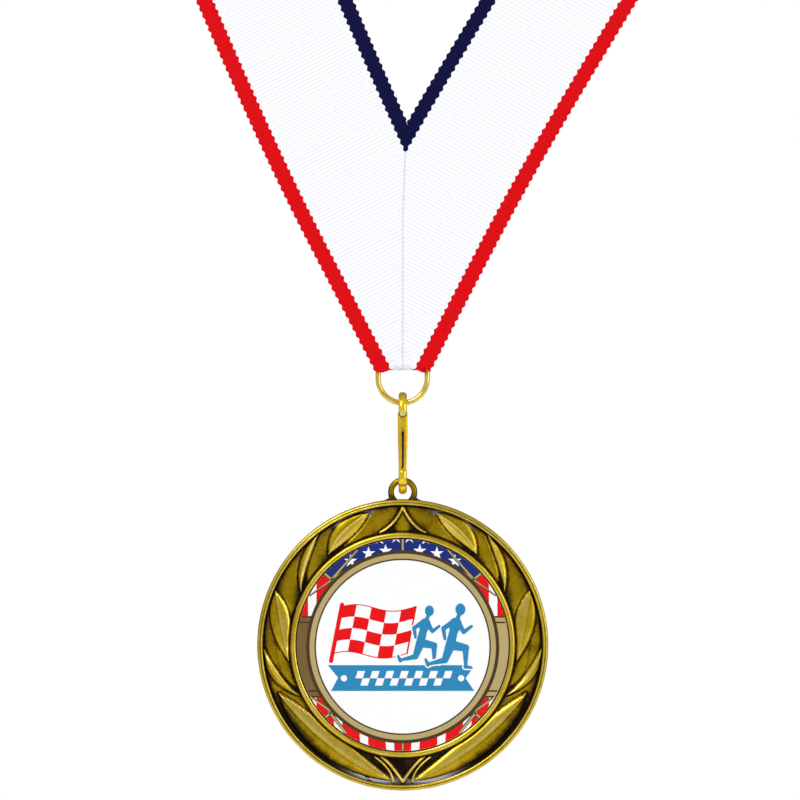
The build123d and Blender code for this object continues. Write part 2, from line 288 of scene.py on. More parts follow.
def make_cloth():
    bm = bmesh.new()
    overlap = strap_width / 2 * math.tan(nape_turn)
    ribs = round((2 * strap_length + 2 * overlap) / rib_pitch)
    bmesh.ops.create_grid(bm, x_segments=ribs * steps_per_rib, y_segments=8, size=0.5)
    length = ribs * rib_pitch
    bmesh.ops.scale(bm, verts=bm.verts, vec=(length, strap_width, 1))
    bmesh.ops.translate(bm, verts=bm.verts, vec=(strap_length, 0, 0))
    down = (math.sin(nape_turn), -math.cos(nape_turn))
    aside = (math.cos(nape_turn), math.sin(nape_turn))
    bar_depth = apex.z - bar_z
    for end in (0, 1):
        origin, sign = (2 * strap_length, -1) if end else (0, 1)
        foot = origin + sign * strap_length

        def cut(depth, out, clear):
            """Cuts at this depth below the apex or, without one, this far out from the seam."""
            if depth is not None:
                point = (foot - sign * depth * down[0], depth * math.cos(nape_turn) - nape_reach, 0)
                normal = (sign * down[0], -math.cos(nape_turn), 0)
            else:
                point = (foot + sign * out * aside[0], out * aside[1] - nape_reach, 0)
                normal = (sign * aside[0], aside[1], 0)
            geometry = bm.verts[:] + bm.edges[:] + bm.faces[:]
            bmesh.ops.bisect_plane(
                bm, geom=geometry, dist=1e-7, plane_co=point, plane_no=normal, clear_inner=clear
            )

        cut(None, 0, True)
        cut(None, seam_dip_width, False)
        cut(bar_depth, None, False)
        cut(bar_depth + flap_drop, None, False)
        cut(None, fold_half, False)
        spare = []
        for face in bm.faces:
            middle = face.calc_center_median()
            run = sign * (foot - middle.x)
            rise = nape_reach + middle.y
            depth = run * math.sin(nape_turn) + rise * math.cos(nape_turn)
            out = rise * math.sin(nape_turn) - run * math.cos(nape_turn)
            past_flap = bar_depth + flap_drop < depth < bar_depth + tip_length
            if past_flap and fold_half < out < strap_width:
                spare.append(face)
        bmesh.ops.delete(bm, geom=spare, context="FACES")
    uv = bm.loops.layers.uv.new("weave")
    for face in bm.faces:
        for loop in face.loops:
            loop[uv].uv = (loop.vert.co.x, loop.vert.co.y)
    bmesh.ops.solidify(bm, geom=bm.faces[:], thickness=2 * cloth_half)
    for vert in bm.verts:
        along, across, lift = vert.co
        phase = 2 * math.pi * along / rib_pitch
        rib = 0.5 + 0.5 * math.cos(phase)
        lift = (1 if -cloth_half < lift < cloth_half else -1) * (cloth_half + rib_swell * rib**rib_roundness)
        if min(along, 2 * strap_length - along) * math.cos(nape_turn) + across * math.sin(nape_turn) < 1e-6:
            lift -= math.copysign(seam_dip, lift)
        edge = smooth((abs(across) - strap_width / 2 + scallop_band) / scallop_band)
        across += math.copysign(1, across) * scallop * math.cos(phase / 2) * float(edge)
        vert.co = (along, across, lift)
    return bm


cloth = new_object("ribbon_cloth", make_cloth())
flat_points = np.array([v.co for v in cloth.data.vertices])
cloth.data.vertices.foreach_set("co", hung(flat_points).ravel())
cloth.data.update()
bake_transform(cloth)
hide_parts("neck_ribbon")


def maths(tree, operation, *values, clamp=False):
    """A Math node whose inputs are sockets or numbers."""
    made = node(tree, "Math", operation=operation, use_clamp=clamp)
    for index, value in enumerate(values):
        if isinstance(value, (int, float)):
            made.inputs[index].default_value = value
        else:
            tree.links.new(value, made.inputs[index])
    return made.outputs[0]


def colour_sockets(sockets):
    return [socket for socket in sockets if socket.type == "RGBA"]


def blend_colours(tree, share, first, second):
    """Mixes two colours, each a socket or three numbers."""
    made = node(tree, "Mix", ("Factor", share), data_type="RGBA")
    for socket, value in zip(colour_sockets(made.inputs), (first, second)):
        if isinstance(value, tuple):
            socket.default_value = (*value, 1)
        else:
            tree.links.new(value, socket)
    return colour_sockets(made.outputs)[0]


def noise(tree, place, scale, detail, roughness=0.5):
    made = node(
        tree, "TexNoise", ("Vector", place), in_Scale=scale, in_Detail=detail, in_Roughness=roughness
    )
    return made.outputs["Fac"]


def add_bump(tree, shader, height, strength, distance):
    bump = node(tree, "Bump", ("Height", height), in_Strength=strength, in_Distance=distance)
    tree.links.new(bump.outputs["Normal"], shader.inputs["Normal"])


def ribbon_cloth_material():
    material, tree, shader = new_material("grosgrain", (0.9, 0.9, 0.92), 0.62)
    uv = node(tree, "UVMap", uv_map="weave")
    parts = node(tree, "SeparateXYZ", ("Vector", uv.outputs["UV"]))
    along, across = parts.outputs["X"], parts.outputs["Y"]
    # the dye line steps with the weft, two ribs to a step
    wander = maths(tree, "SINE", maths(tree, "MULTIPLY", along, math.pi / rib_pitch))
    dyed = maths(tree, "ADD", across, maths(tree, "MULTIPLY", wander, scallop))
    navy = maths(tree, "LESS_THAN", dyed, navy_width - strap_width / 2)
    red = maths(tree, "GREATER_THAN", dyed, strap_width / 2 - red_width)
    colour = blend_colours(tree, navy, (0.915, 0.92, 0.94), (0.002, 0.003, 0.046))
    colour = blend_colours(tree, red, colour, (0.70, 0.001, 0.004))
    # warp yarns cover the weft ribs: fine lines that run along the strap
    yarn = maths(tree, "SINE", maths(tree, "MULTIPLY", across, 2 * math.pi / yarn_pitch))
    # painted shade: the colour darkens a little between the weft ribs
    rib = maths(tree, "COSINE", maths(tree, "MULTIPLY", along, 2 * math.pi / rib_pitch))
    shade = maths(tree, "MULTIPLY_ADD", rib, 0.05, 0.95)
    speck = noise(tree, uv.outputs["UV"], 900, 3)
    soften = maths(tree, "MULTIPLY_ADD", speck, 0.14, 0.93)
    # the mitred seam sinks a little, and painted shade darkens the colour along it
    fold = maths(tree, "MINIMUM", along, maths(tree, "SUBTRACT", 2 * strap_length, along))
    fold = maths(tree, "MULTIPLY", fold, math.cos(nape_turn))
    out = maths(tree, "ADD", fold, maths(tree, "MULTIPLY", across, math.sin(nape_turn)))
    dark = maths(tree, "SUBTRACT", 1.0, maths(tree, "DIVIDE", out, seam_shade_width), clamp=True)
    dark = maths(tree, "MULTIPLY", dark, speck)
    seam_shade = maths(tree, "SUBTRACT", 1.0, maths(tree, "MULTIPLY", dark, 0.5))
    value = maths(tree, "MULTIPLY", maths(tree, "MULTIPLY", shade, soften), seam_shade)
    grey = node(tree, "CombineXYZ", ("X", value), ("Y", value), ("Z", value))
    tone = node(tree, "Mix", data_type="RGBA", blend_type="MULTIPLY")
    tone.inputs["Factor"].default_value = 1.0
    for socket, source in zip(colour_sockets(tone.inputs), (colour, grey.outputs[0])):
        tree.links.new(source, socket)
    tree.links.new(colour_sockets(tone.outputs)[0], shader.inputs["Base Color"])
    add_bump(tree, shader, yarn, 0.25, 0.05 * MM)
    shader.inputs["Sheen Weight"].default_value = 0.02
    shader.inputs["Sheen Roughness"].default_value = 0.4
    shader.inputs["Specular IOR Level"].default_value = 0.08
    return material


cloth.data.materials.append(ribbon_cloth_material())

# ---- Stitches ----------------------------------------------------------------
# Spun polyester thread. One line closes the mitred seam from behind, and a bar tack of short rows
# holds the folded tip to the back of the strap.
thread_half = 0.13 * MM
stitch_gap = 0.9 * MM
stitch_length = 2.4 * MM
seam_low, seam_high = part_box("seam_thread")
cloth_back = -(cloth_half + rib_swell)


def make_stitch(bm, start, end):
    """A short stitch between two points, fat in the middle."""
    start, end = Vector(start), Vector(end)
    way = end - start
    verts = bmesh.ops.create_uvsphere(bm, u_segments=10, v_segments=12, radius=1)["verts"]
    turn = way.to_track_quat("Z", "Y").to_matrix()
    bmesh.ops.scale(bm, verts=verts, vec=(thread_half, thread_half, way.length / 2))
    for vert in verts:
        vert.co = turn @ vert.co + (start + end) / 2


def sewing_thread_material():
    material, tree, shader = new_material("sewing_thread", (0.88, 0.88, 0.9), 0.55)
    place = node(tree, "TexCoord").outputs["Object"]
    twist = node(tree, "TexWave", ("Vector", place), bands_direction="DIAGONAL", in_Scale=2500.0)
    colour = blend_colours(tree, twist.outputs["Fac"], (0.70, 0.70, 0.73), (0.90, 0.90, 0.92))
    tree.links.new(colour, shader.inputs["Base Color"])
    add_bump(tree, shader, twist.outputs["Fac"], 0.4, 0.04 * MM)
    shader.inputs["Sheen Weight"].default_value = 0.2
    return material


thread_material = sewing_thread_material()
back_y = apex.y - cloth_back
seam_bm = bmesh.new()
z = seam_low[2]
while z < seam_high[2]:
    x = float(sideways((z - bar_z) / -bar_z))
    make_stitch(seam_bm, (x, back_y, z), (x, back_y, z + stitch_length))
    z += stitch_length + stitch_gap
seam_thread = new_object("seam_stitches", seam_bm)
seam_thread.data.materials.append(thread_material)
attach(seam_thread, "ribbon")
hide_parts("seam_thread")

tack_bm = bmesh.new()
tack_rows, tack_pitch, tack_rise = 5, 0.9 * MM, 4.2 * MM
tack_half, tack_taper = 3.4 * MM, 0.35 * MM
tab_y = back_y + 2 * (cloth_half + rib_swell)
for row in range(tack_rows):
    z = bar_z + tack_rise + tack_pitch * row
    half = tack_half - tack_taper * row
    for part in (-1, 0, 1):
        x = part * half * 0.66
        make_stitch(tack_bm, (x - half * 0.28, tab_y, z), (x + half * 0.28, tab_y, z))
tack = new_object("tab_stitches", tack_bm)
tack.data.materials.append(thread_material)
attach(tack, "ribbon")
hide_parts("tab_thread")

# ---- D-ring ------------------------------------------------------------------
# Round steel wire bent to a D and plated a pale bright gold. Its bar is hidden in the ribbon's fold.
plating_metal = 0.62


def ramp_colours(tree, value, *stops):
    """A colour that follows a value, through stops of position and colour."""
    ramp = node(tree, "ValToRGB", ("Fac", value))
    elements = ramp.color_ramp.elements
    for index, (position, colour) in enumerate(stops):
        element = elements[index] if index < 2 else elements.new(position)
        element.position = position
        element.color = (*colour, 1)
    return ramp.outputs["Color"]


def plating_material(name, bright, deep, roughness):
    """Bright plating whose colour drifts a little and turns near black where painted shade or a painted dark
    reflection is set.
    """
    material, tree, shader = new_material(name, bright, roughness, plating_metal)
    place = node(tree, "TexCoord").outputs["Object"]
    tone = ramp_colours(tree, noise(tree, place, 300, 2), (0.35, deep), (0.6, bright))
    painted_shade_and_reflection = node(tree, "Attribute", attribute_name="painted_shade_and_reflection")
    # near black where painted shade or a painted dark reflection is set
    colour = blend_colours(tree, painted_shade_and_reflection.outputs["Fac"], tone, (0.030, 0.016, 0.004))
    tree.links.new(colour, shader.inputs["Base Color"])
    grain = noise(tree, place, 1500, 3)
    rough = maths(tree, "MULTIPLY_ADD", grain, 0.1, roughness - 0.05)
    tree.links.new(rough, shader.inputs["Roughness"])
    add_bump(tree, shader, grain, 0.04, 0.03 * MM)
    return material


def finish_node(name, material):
    part = frame["nodes"][name]
    part.data.materials.clear()
    part.data.materials.append(material)


finish_node("d_ring", plating_material("ring_plating", (0.88, 0.66, 0.13), (0.62, 0.43, 0.05), 0.16))

# ---- Snap hook ---------------------------------------------------------------
# Round-edged wire bent to a long loop, open in front below the rivet, with a thicker bottom bend that
# carries the medal's eye. The plating is a deep yellow gold, with painted shade inside the loop.
hook_low, hook_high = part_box("clip_hook")
hook_wire = 1.8 * MM
hook_foot_wire = 2.4 * MM
hook_half_width = 1.0 * MM
end_round = 0.5 * MM
leg_below_rivet = 1.05 * MM
nose_height = 0.95 * MM
wire_squareness = 0.82
# where the painted darkening lies: a dark reflection line low on the front, and a shadow arc under the rivet
painted_reflection_drop, painted_reflection_half = 2.0 * MM, 0.26 * MM
rivet_shadow_radius, rivet_shadow_half, rivet_shadow_drop = 0.82 * MM, 0.2 * MM, 0.1 * MM
thicken_run = 3 * MM
bend_outer = (hook_high[1] - hook_low[1]) / 2
bend_middle = bend_outer - hook_wire / 2
top_bend_z = hook_high[2] - bend_outer
foot_bend_z = hook_low[2] + bend_outer
foot_inner_z = hook_low[2] + hook_foot_wire + bend_outer - hook_wire
rivet_z = joint_at["gate_open"].z


def only(kind, geom):
    return [item for item in geom if isinstance(item, kind)]


def extrude_ring(bm, edges, move, shrink=1.0):
    """Carries an open ring of edges on by one step, and narrows it about its middle."""
    geom = bmesh.ops.extrude_edge_only(bm, edges=edges)["geom"]
    verts = only(bmesh.types.BMVert, geom)
    bmesh.ops.translate(bm, verts=verts, vec=move)
    middle = sum((v.co for v in verts), Vector()) / len(verts)
    for vert in verts:
        vert.co = middle + (vert.co - middle) * shrink
    return only(bmesh.types.BMEdge, geom)


def round_end(bm, edges, way):
    """Closes an open ring with a rounded end."""
    size = 1.0
    for start, stop in ((0, 25), (25, 50), (50, 72), (72, 90)):
        travel = end_round * (math.sin(math.radians(stop)) - math.sin(math.radians(start)))
        target = 1 - end_round / (hook_wire / 2) * (1 - math.cos(math.radians(stop)))
        edges = extrude_ring(bm, edges, (0, 0, way * travel), target / size)
        size = target
    bmesh.ops.contextual_create(bm, geom=edges)


def make_hook():
    bm = bmesh.new()
    bmesh.ops.create_circle(bm, segments=32, radius=1)
    leg_z = rivet_z - leg_below_rivet + end_round
    for vert in bm.verts:
        wide = math.copysign(abs(vert.co.x) ** wire_squareness, vert.co.x) * hook_half_width
        deep = math.copysign(abs(vert.co.y) ** wire_squareness, vert.co.y) * hook_wire / 2
        vert.co = (wide, hang_y - bend_middle + deep, leg_z)
    start = bm.edges[:]
    edges = start
    nose_z = foot_inner_z + nose_height - end_round
    for stop_z, steps in ((top_bend_z, 6), (foot_bend_z, 24), (nose_z, 6)):
        here = edges[0].verts[0].co.z
        for _ in range(steps):
            edges = extrude_ring(bm, edges, (0, 0, (stop_z - here) / steps))
        if stop_z != nose_z:
            verts = list({v for e in edges for v in e.verts})
            last = bmesh.ops.spin(
                bm, geom=verts + edges, cent=(0, hang_y, stop_z), axis=(1, 0, 0), angle=-math.pi, steps=32
            )["geom_last"]
            edges = only(bmesh.types.BMEdge, last)
    round_end(bm, edges, 1)
    round_end(bm, start, -1)
    bmesh.ops.recalc_face_normals(bm, faces=bm.faces)
    painted_shade_and_reflection = bm.verts.layers.float.new("painted_shade_and_reflection")
    painted_reflection_z = foot_bend_z - painted_reflection_drop
    for vert in bm.verts:
        x, y, z = vert.co
        below = foot_bend_z - z
        reach = math.hypot(y - hang_y, below) if below > 0 else abs(y - hang_y)
        inner = min(max((bend_middle - reach) / (hook_wire / 2), 0), 1)
        front = y < hang_y - 0.7 * bend_middle
        # painted shade in an arc under the rivet and on the inside of the loop, and a painted dark reflection
        # low on the front
        ring = math.hypot(x, z - rivet_z + rivet_shadow_drop) - rivet_shadow_radius
        rivet_shadow = math.exp(-((ring / rivet_shadow_half) ** 2)) if front and z < rivet_z else 0
        painted_reflection_line = 0.9 * math.exp(-(((z - painted_reflection_z) / painted_reflection_half) ** 2)) if front else 0
        vert[painted_shade_and_reflection] = max(rivet_shadow, painted_reflection_line, min(1, 1.6 * inner) if y > hang_y else 0.5 * inner)
        vert.co.z += (hook_foot_wire - hook_wire) * inner * float(smooth((below + thicken_run) / thicken_run))
    for face in bm.faces:
        face.smooth = True
    return bm


clip_gold = plating_material("clip_plating", (0.98, 0.68, 0.03), (0.86, 0.52, 0.012), 0.17)
hook = new_object("snap_hook", make_hook())
hook.data.materials.append(clip_gold)
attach(hook, "clip")
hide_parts("clip_hook")

# ---- Gate and rivet ----------------------------------------------------------
# The gate is a springy pressed leaf, crowned across and slotted, held under the hook's front leg by one
# round-headed rivet. It narrows to its free end, which rests behind the hook's nose.
gate_low, gate_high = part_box("clip_gate")
gate_stock = 0.4 * MM
gate_crown = 0.22 * MM
gate_free_share, gate_taper_share = 0.80, 0.75
gate_corner = 0.6 * MM
gate_slot_foot, gate_slot_length = 1.35 * MM, 8.7 * MM
gate_hole_half = 0.5 * MM


def make_gate():
    bm = bmesh.new()
    columns = (-1, -0.8, -0.42, -0.23, 0, 0.23, 0.42, 0.8, 1)
    length = gate_high[2] - gate_low[2]
    hole = rivet_z - gate_low[2]
    rows = [0, 0.08 * MM, 0.2 * MM, 0.4 * MM, gate_corner, 0.95 * MM]
    rows += [gate_slot_foot + gate_slot_length * step / 8 for step in range(9)]
    rows += [hole - 2 * MM, hole - MM, hole - gate_hole_half, hole, length - gate_hole_half / 2]
    rows += [length - 0.1 * MM, length]
    bmesh.ops.create_grid(bm, x_segments=len(columns) - 1, y_segments=len(rows) - 1, size=0.5)
    gone = []
    for face in bm.faces:
        middle = face.calc_center_median()
        column = (middle.x + 0.5) * (len(columns) - 1)
        row = int((middle.y + 0.5) * (len(rows) - 1))
        in_slot = gate_slot_foot <= (rows[row] + rows[row + 1]) / 2 <= gate_slot_foot + gate_slot_length
        in_hole = hole - gate_hole_half <= rows[row] and rows[row + 1] <= length - gate_hole_half / 2
        if (in_slot and 3 < column < 5) or (in_hole and 2 < column < 6):
            gone.append(face)
    for vert in bm.verts:
        share = columns[round((vert.co.x + 0.5) * (len(columns) - 1))]
        height = rows[round((vert.co.y + 0.5) * (len(rows) - 1))]
        widening = float(smooth(height / (gate_taper_share * length)))
        half = (gate_high[0] - gate_low[0]) / 2 * (gate_free_share + (1 - gate_free_share) * widening)
        for end in (height, length - height):
            if end < gate_corner:
                half -= gate_corner - math.sqrt(gate_corner**2 - (gate_corner - end) ** 2)
        vert.co = (share * half, gate_low[1] + gate_crown * share**2, gate_low[2] + height)
    bmesh.ops.delete(bm, geom=gone, context="FACES")
    bmesh.ops.recalc_face_normals(bm, faces=bm.faces)
    bm.faces.ensure_lookup_table()
    if bm.faces[0].normal.y > 0:
        bmesh.ops.reverse_faces(bm, faces=bm.faces)
    bmesh.ops.solidify(bm, geom=bm.faces[:], thickness=gate_stock)
    painted_shade_and_reflection = bm.verts.layers.float.new("painted_shade_and_reflection")
    for face in bm.faces:
        face.smooth = abs(face.normal.y) > 0.6
        middle = face.calc_center_median()
        # painted shade on the edge faces near the middle line, such as the walls of the slot and the rivet
        # hole
        if not face.smooth and abs(middle.x) < gate_hole_half:
            for vert in face.verts:
                vert[painted_shade_and_reflection] = 0.8
    return bm


gate = new_object("gate_leaf", make_gate())
gate.data.materials.append(clip_gold)
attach(gate, "gate")
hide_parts("clip_gate")
finish_node("gate_rivet", plating_material("rivet_plating", (1.0, 0.88, 0.36), (0.98, 0.80, 0.2), 0.1))

# ---- Medal casting -----------------------------------------------------------
# Die-cast zinc with a turned-up rim, a band of laurel leaves in relief, a bezel round the seat and
# an eye on top. It is plated, blackened, then wiped, so that black stays in the hollows.
disc_half = (medal_high[1] - medal_low[1]) / 2
rim_inner = 33.6 * MM
bezel_outer = 27.0 * MM
seat_radius = 25.7 * MM
band_depth = 1.0 * MM
seat_depth = 1.1 * MM
spin_steps = 1200
sectors = 12
band_rows = 46
band_margin = 0.05 * MM

# radius and depth below the crest, from the middle outwards, then down the side and back in
profile = [(0, seat_depth), (22 * MM, seat_depth), (seat_radius, seat_depth), (seat_radius, 0.22 * MM)]
profile += [(seat_radius + 0.14 * MM, 0.06 * MM), (26.15 * MM, 0), (26.5 * MM, 0.02 * MM)]
profile += [(26.8 * MM, 0.14 * MM), (bezel_outer, 0.4 * MM)]
for share in np.linspace(0, 1, band_rows):
    radius = bezel_outer + band_margin + share * (rim_inner - bezel_outer - 2 * band_margin)
    profile.append((radius, band_depth))
profile += [(rim_inner, 0.35 * MM), (rim_inner + 0.12 * MM, 0.08 * MM), (33.85 * MM, 0.0)]
profile += [(34.05 * MM, 0.03 * MM), (34.2 * MM, 0.14 * MM), (34.35 * MM, 0.05 * MM)]
profile += [(34.6 * MM, 0.08 * MM), (34.82 * MM, 0.25 * MM), (medal_radius, 0.6 * MM)]
back = 2 * disc_half
profile += [(medal_radius, back - 0.45 * MM), (medal_radius - 0.12 * MM, back - 0.12 * MM)]
profile += [(medal_radius - 0.45 * MM, back), (33.0 * MM, back)]
profile += [(32.8 * MM, back - 0.12 * MM), (0, back - 0.12 * MM)]

casting_bm = bmesh.new()
chain = [casting_bm.verts.new((radius, depth, 0)) for radius, depth in profile]
line = chain + [casting_bm.edges.new(pair) for pair in zip(chain, chain[1:])]
sector_turn = 2 * math.pi / sectors
steps = spin_steps // sectors
bmesh.ops.spin(casting_bm, geom=line, cent=(0, 0, 0), axis=(0, 1, 0), angle=sector_turn, steps=steps)
sector = casting_bm.verts[:] + casting_bm.edges[:] + casting_bm.faces[:]
for index in range(1, sectors):
    copy = bmesh.ops.duplicate(casting_bm, geom=sector)["geom"]
    turn = Matrix.Rotation(index * sector_turn, 3, "Y")
    bmesh.ops.rotate(casting_bm, verts=only(bmesh.types.BMVert, copy), cent=(0, 0, 0), matrix=turn)
bmesh.ops.remove_doubles(casting_bm, verts=casting_bm.verts, dist=2e-7)
bmesh.ops.recalc_face_normals(casting_bm, faces=casting_bm.faces)

# leaves on the wearer's-left side, mirrored on the other: tip, middle of the spine, base, as
# (x, z) in millimetres from the disc's centre, then half width, height, and how much painted shade
# darkens the half that faces the rim towards its edge
leaves = [
    ((8.4, 31.5), (14.2, 27.2), (17.7, 21.9), 2.15, 0.85, 0.5),
    ((20.3, 26.8), (23.7, 19.6), (24.4, 13.0), 0.9, 0.85, 0.3),
    ((30.5, 12.8), (29.2, 4.8), (27.4, -3.6), 2.3, 0.85, 0.35),
    ((33.4, -0.8), (30.4, -7.4), (24.9, -12.0), 1.0, 0.8, 0.5),
    ((29.5, -11.8), (17.3, -24.2), (2.6, -32.4), 3.0, 0.9, 0.95),
]
# plain ridges: the tent at the top and the doubled V at the bottom
ridges = [
    ((0.0, 33.2), (2.2, 29.5), (5.4, 27.0), 0.38, 0.85),
    ((0.0, -32.9), (2.3, -29.6), (5.0, -26.8), 0.42, 0.7),
    ((2.3, -33.1), (3.4, -30.0), (6.6, -26.9), 0.3, 0.55),
]
# broad swells of the ground between the leaves, given like the ridges: half width and height last
swells = [
    ((1.0, 33.4), (7.0, 29.6), (13.4, 23.6), 3.5, 0.42),
    ((0.0, 32.0), (0.0, 29.0), (0.0, 25.8), 2.1, 0.3),
    ((14.6, 30.2), (19.6, 24.4), (22.3, 15.6), 3.3, 0.42),
    ((23.4, 23.6), (27.4, 15.2), (27.4, 4.6), 3.3, 0.42),
    ((32.6, 8.6), (31.8, 0.0), (29.4, -8.0), 2.0, 0.36),
    ((29.8, 1.5), (28.6, -5.0), (25.6, -9.6), 1.7, 0.3),
    ((31.8, -5.6), (27.0, -13.4), (18.6, -20.2), 3.1, 0.4),
]
hollow_bright, swell_gain = 0.12, 0.47
rim_wall_shade, rim_wall_shade_run = 0.55, 1.3 * MM
moat_width, moat_share = 0.7 * MM, 0.8
vein_half, groove_reach, groove_half = 0.16 * MM, 0.32 * MM, 0.14 * MM


def nearest_on_spine(points, tip, middle, base):
    """How far along the curved spine each point lies, and its distance to one side."""
    tip, middle, base = (np.array(p) * MM for p in (tip, middle, base))
    control = 2 * middle - (tip + base) / 2
    share = np.linspace(0, 1, 60)[:, None]
    spine = (1 - share) ** 2 * tip + 2 * share * (1 - share) * control + share**2 * base
    gaps = points[:, None, :] - spine[None]
    reach = np.hypot(gaps[..., 0], gaps[..., 1])
    best = reach.argmin(1)
    rows = np.arange(len(points))
    tangent = np.gradient(spine, axis=0)[best]
    gap = gaps[rows, best]
    side = np.sign(tangent[:, 0] * gap[:, 1] - tangent[:, 1] * gap[:, 0])
    return share[best, 0], side * reach[rows, best]


def relief(points):
    """Height above the ground and brightness for (x, z) points in the leaf band: blackening left in the
    hollows by wiping, with painted shade near the rim wall and painted light and shade on the leaves.
    """
    mirrored = np.stack([np.abs(points[:, 0]), points[:, 1]], -1)
    height = np.zeros(len(points))
    bright = np.full(len(points), hollow_bright)
    for tip, middle, base, half, top in swells:
        share, side = nearest_on_spine(mirrored, tip, middle, base)
        width = half * MM * np.sin(np.pi * np.clip(share, 0.02, 0.98)) ** 0.5
        inside = np.clip(1 - (side / width) ** 2, 0, 1)
        height = np.maximum(height, top * MM * inside**1.4)
        bright = np.maximum(bright, hollow_bright + swell_gain * inside)
    # painted shade on the ground, darker near the rim wall
    to_wall = rim_inner - np.hypot(points[:, 0], points[:, 1])
    bright *= 1 - rim_wall_shade * np.exp(-to_wall / rim_wall_shade_run)
    for tip, middle, base, half, top, rim_side_shade in leaves:
        share, side = nearest_on_spine(mirrored, tip, middle, base)
        width = half * MM * np.sin(np.pi * np.clip(share, 0.01, 0.99) ** 0.85) ** 0.75 + 0.02 * MM
        ratio = np.abs(side) / width
        inside = np.clip(1 - ratio**2, 0, 1)
        moat = np.clip(1 - (np.abs(side) - width) / moat_width, 0, 1)
        outside = ratio >= 1
        height = np.where(outside, height * (1 - moat_share * moat), height)
        bright = np.where(outside, bright * (1 - 0.85 * moat), bright)
        vein = np.exp(-((side / vein_half) ** 2))
        groove = np.exp(-(((np.abs(side) - groove_reach) / groove_half) ** 2))
        leaf = top * MM * (0.24 + 0.76 * inside**0.6) + (0.06 * vein - 0.05 * groove) * MM
        # painted light and shade on the leaf: the half that faces the rim darkens towards its edge and tip,
        # the other half is lit, and the spine has a painted highlight
        to_rim = (side > 0) == (tip[0] * base[1] < tip[1] * base[0])
        rim_half = 0.16 + 0.10 * share - rim_side_shade * (0.62 * ratio**2 + 0.35 * (1 - share))
        shade = 0.60 + np.where(to_rim, rim_half, 0.28 * inside**0.4) + 0.16 * vein - 0.20 * groove * to_rim
        # a thin painted highlight along the leaf's edge, dimmer on the shaded half
        shade += 0.24 * np.clip((ratio - 0.84) / 0.12, 0, 1) * (1 - rim_side_shade * to_rim)
        height = np.where(outside, height, np.maximum(height, leaf))
        bright = np.where(outside, bright, shade)
    for tip, middle, base, half, top in ridges:
        share, side = nearest_on_spine(mirrored, tip, middle, base)
        ratio = np.abs(side) / (half * MM)
        moat = np.clip(1 - (ratio - 1) * half / 0.5, 0, 1)
        ground = height * (1 - moat_share * moat)
        height = np.where(ratio >= 1, ground, top * MM * (1 - 0.6 * ratio**2))
        bright = np.where(ratio >= 1, bright * (1 - 0.9 * moat), 1.0 - 0.25 * ratio)
    return height, bright


wall_shadow_run = 0.85 * MM
plain_wear, crest_wear, rim_groove_wear = 0.62, 0.84, 0.12
radius_of = np.array([math.hypot(v.co.x, v.co.z) for v in casting_bm.verts])
depth_of = np.array([v.co.y for v in casting_bm.verts])
plan = np.array([(v.co.x, v.co.z) for v in casting_bm.verts])
in_band = (radius_of > bezel_outer + band_margin / 2) & (radius_of < rim_inner - band_margin / 2)
in_band &= depth_of < disc_half
height, bright = relief(plan[in_band])
wall = np.minimum(radius_of[in_band] - bezel_outer, rim_inner - radius_of[in_band])
shadow = np.clip(1 - wall / wall_shadow_run, 0, 1)
wear_and_painted_light = np.full(len(plan), plain_wear)
# the band's level: blackening left in the hollows by wiping, with painted light and shade from relief() and a
# painted shadow near the walls
wear_and_painted_light[in_band] = bright * (1 - 0.85 * shadow)
crest = (depth_of < 0.1 * MM) & ~in_band
wear_and_painted_light[crest] = crest_wear
wear_and_painted_light[(radius_of > 34.1 * MM) & (radius_of < 34.3 * MM) & (depth_of < 0.3 * MM)] = rim_groove_wear
depth_of[in_band] = band_depth - height * (1 - shadow**2)
# black lacquer lies thick and glossy under the big leaves and in places under the rim; there the colour takes
# patches of a cool grey painted reflection
clock_of = np.abs(np.degrees(np.arctan2(plan[:, 0], plan[:, 1])))
lacquer_and_painted_reflection = np.exp(-(((radius_of - 32.7 * MM) / (0.75 * MM)) ** 2)) * in_band
lacquer_and_painted_reflection *= np.exp(-(((clock_of - 167) / 8) ** 2)) + 0.5 * np.exp(-(((clock_of - 22) / 7) ** 2))
lacquer_and_painted_reflection[in_band] *= height < 0.3 * MM
lacquer_and_painted_reflection = np.minimum(1.6 * lacquer_and_painted_reflection, 1)
wear_and_painted_light_layer = casting_bm.verts.layers.float.new("wear_and_painted_light")
lacquer_and_painted_reflection_layer = casting_bm.verts.layers.float.new("lacquer_and_painted_reflection")
for vert, depth, value, lacquer_and_reflection_value in zip(casting_bm.verts, depth_of, wear_and_painted_light, lacquer_and_painted_reflection):
    vert.co.y = depth
    vert[wear_and_painted_light_layer] = value
    vert[lacquer_and_painted_reflection_layer] = lacquer_and_reflection_value
face_y = hang_y - disc_half
bmesh.ops.translate(casting_bm, verts=casting_bm.verts, vec=(0, face_y, medal_z))
for face in casting_bm.faces:
    face.smooth = True


